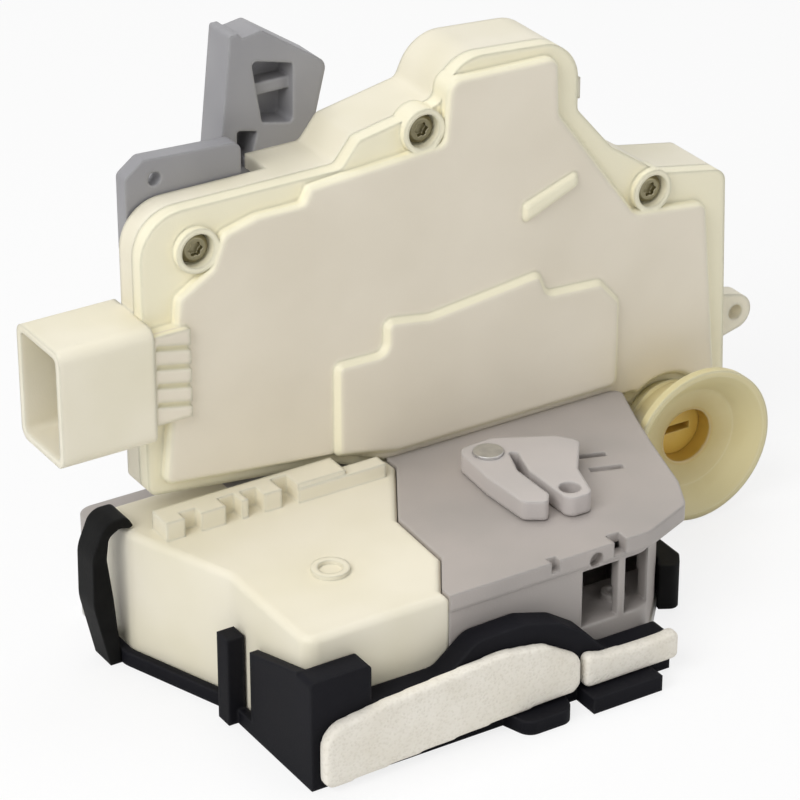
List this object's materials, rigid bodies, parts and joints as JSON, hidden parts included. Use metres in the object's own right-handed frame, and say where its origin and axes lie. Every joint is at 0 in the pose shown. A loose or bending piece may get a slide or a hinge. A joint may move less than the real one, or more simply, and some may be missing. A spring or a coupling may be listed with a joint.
{
  "type": "vehicle door latch actuator",
  "caption": "Side door latch with a steel faceplate and striker mouth, an upright plastic actuator case, a plug socket, a cable bracket and a key funnel.",
  "frame": {"origin": "midway between the two fixing holes, on the outer face of the steel faceplate", "axes": "+Z into the door away from the faceplate, +Y to the inside of the vehicle, +X along the case away from the plug socket"},
  "size_m": [0.1675, 0.09, 0.1178],
  "materials": {
    "actuator_cover": "fine-grained satin moulding",
    "actuator_tray": "smooth satin moulding",
    "back_plate": "zinc plated",
    "base_guide": "black satin moulding",
    "carrier_frame": "glass-filled satin moulding",
    "catch": "hardened and oiled",
    "catch_pin": "turned",
    "catch_plunger": "smooth",
    "catch_spring": "drawn wire",
    "catch_switch": "smooth",
    "connector_pins": "tin plated",
    "corner_seal": "matt",
    "cover_screws": "zinc plated",
    "faceplate": "zinc plated",
    "foam_strip_left": "closed-cell foam",
    "foam_strip_right": "closed-cell foam",
    "inner_release_lever": "zinc plated",
    "key_funnel": "smooth satin moulding",
    "key_plunger": "smooth",
    "key_rotor": "smooth acetal",
    "key_switch": "smooth",
    "latch_housing": "glass-filled satin moulding",
    "latch_screws": "zinc plated",
    "lead_frame": "stamped",
    "lever_cover": "smooth satin moulding",
    "lock_motor": "nickel plated can",
    "lock_motor_cap": "smooth",
    "lock_plunger": "smooth",
    "lock_slider": "smooth acetal",
    "lock_switch": "smooth",
    "lock_wheel": "smooth acetal",
    "lock_worm": "turned",
    "outer_release_lever": "satin moulding",
    "pawl": "hardened and oiled",
    "pawl_pin": "turned",
    "pawl_spring": "drawn wire",
    "release_shaft": "turned",
    "safe_motor": "nickel plated can",
    "safe_motor_cap": "smooth",
    "safe_slider": "smooth acetal",
    "safe_wheel": "smooth acetal",
    "safe_worm": "turned",
    "seal_hook": "matt",
    "striker_bumper": "matt"
  },
  "bodies": {
    "latch_body": {"actuator_cover": "actuator_cover", "actuator_tray": "actuator_tray", "back_plate": "back_plate", "base_guide": "base_guide", "carrier_frame": "carrier_frame", "catch_pin": "catch_pin", "catch_spring": "catch_spring", "catch_switch": "catch_switch", "connector_pins": "connector_pins", "corner_seal": "corner_seal", "cover_screws": "cover_screws", "faceplate": "faceplate", "foam_strip_left": "foam_strip_left", "foam_strip_right": "foam_strip_right", "key_funnel": "key_funnel", "key_switch": "key_switch", "latch_housing": "latch_housing", "latch_screws": "latch_screws", "lead_frame": "lead_frame", "lever_cover": "lever_cover", "lock_motor": "lock_motor", "lock_motor_cap": "lock_motor_cap", "lock_switch": "lock_switch", "pawl_pin": "pawl_pin", "pawl_spring": "pawl_spring", "safe_motor": "safe_motor", "safe_motor_cap": "safe_motor_cap", "seal_hook": "seal_hook", "striker_bumper": "striker_bumper"},
    "catch": {"catch": "catch"},
    "pawl": {"pawl": "pawl"},
    "release_lever": {"outer_release_lever": "outer_release_lever", "release_shaft": "release_shaft"},
    "inner_lever": {"inner_release_lever": "inner_release_lever"},
    "key_rotor": {"key_rotor": "key_rotor"},
    "lock_wheel": {"lock_wheel": "lock_wheel"},
    "lock_worm": {"lock_worm": "lock_worm"},
    "lock_slider": {"lock_slider": "lock_slider"},
    "safe_wheel": {"safe_wheel": "safe_wheel"},
    "safe_worm": {"safe_worm": "safe_worm"},
    "safe_slider": {"safe_slider": "safe_slider"},
    "catch_plunger": {"catch_plunger": "catch_plunger"},
    "lock_plunger": {"lock_plunger": "lock_plunger"},
    "key_plunger": {"key_plunger": "key_plunger"}
  },
  "joints": [
    {"name": "catch_turn", "type": "hinge", "parent": "latch_body", "child": "catch", "pos_m": [-0.014, 0.02, 0.0075], "axis": [0, 0, -1], "range_deg": [0, 58], "stiffness_Nm_per_rad": 0.02, "springref_deg": -17.19, "deforming": ["catch_spring"]},
    {"name": "outer_lever_turn", "type": "hinge", "parent": "latch_body", "child": "release_lever", "pos_m": [0.0261, 0.012, 0.03], "axis": [0, 0, -1], "range_deg": [0, 18], "stiffness_Nm_per_rad": 0.02, "springref_deg": -17.19, "deforming": ["pawl_spring"]},
    {"name": "pawl_turn", "type": "hinge", "parent": "latch_body", "child": "pawl", "pos_m": [0.0176, -0.002, 0.0075], "axis": [0, 0, 1], "range_deg": [0, 13.5]},
    {"name": "inner_lever_turn", "type": "hinge", "parent": "latch_body", "child": "inner_lever", "pos_m": [0.018, 0.051, 0.062], "axis": [0, -1, 0], "range_deg": [0, 20], "stiffness_Nm_per_rad": 0.02, "springref_deg": -17.19},
    {"name": "key_turn", "type": "hinge", "parent": "latch_body", "child": "key_rotor", "pos_m": [0.081, 0.034, 0.0178], "axis": [0, -1, 0], "range_deg": [-40, 40], "stiffness_Nm_per_rad": 0.005},
    {"name": "lock_wheel_turn", "type": "hinge", "parent": "latch_body", "child": "lock_wheel", "pos_m": [0.053, 0.0375, 0.0664], "axis": [0, -1, 0], "range_deg": [0, 60]},
    {"name": "lock_worm_spin", "type": "hinge", "parent": "latch_body", "child": "lock_worm", "pos_m": [0.04, 0.0375, 0.0664], "axis": [0, 0, 1], "range_deg": [0, 1680]},
    {"name": "lock_slide", "type": "slide", "parent": "latch_body", "child": "lock_slider", "axis": [0, 0, 1], "range_m": [0, 0.0075]},
    {"name": "safe_wheel_turn", "type": "hinge", "parent": "latch_body", "child": "safe_wheel", "pos_m": [0.021, 0.0375, 0.046], "axis": [0, -1, 0], "range_deg": [0, 60]},
    {"name": "safe_worm_spin", "type": "hinge", "parent": "latch_body", "child": "safe_worm", "pos_m": [0.008, 0.0375, 0.046], "axis": [0, 0, 1], "range_deg": [0, 1680]},
    {"name": "safe_slide", "type": "slide", "parent": "latch_body", "child": "safe_slider", "axis": [0, 0, 1], "range_m": [0, 0.0075]},
    {"name": "catch_plunger_press", "type": "slide", "parent": "latch_body", "child": "catch_plunger", "axis": [-0.8192, 0.5736, 0], "range_m": [0, 0.0008], "stiffness_N_per_m": 60, "springref_m": -0.001},
    {"name": "lock_plunger_press", "type": "slide", "parent": "latch_body", "child": "lock_plunger", "axis": [1, 0, 0], "range_m": [0, 0.0008], "stiffness_N_per_m": 60, "springref_m": -0.001},
    {"name": "key_plunger_press", "type": "slide", "parent": "latch_body", "child": "key_plunger", "axis": [0, 0, -1], "range_m": [0, 0.0008], "stiffness_N_per_m": 60, "springref_m": -0.001}
  ],
  "couplings": [
    {"joint": "pawl_turn", "follows": "outer_lever_turn", "ratio": 0.75},
    {"joint": "lock_worm_spin", "follows": "lock_wheel_turn", "ratio": 28},
    {"joint": "lock_slide", "follows": "lock_wheel_turn", "m_per_rad": 0.007162},
    {"joint": "safe_worm_spin", "follows": "safe_wheel_turn", "ratio": 28},
    {"joint": "safe_slide", "follows": "safe_wheel_turn", "m_per_rad": 0.007162}
  ]
}
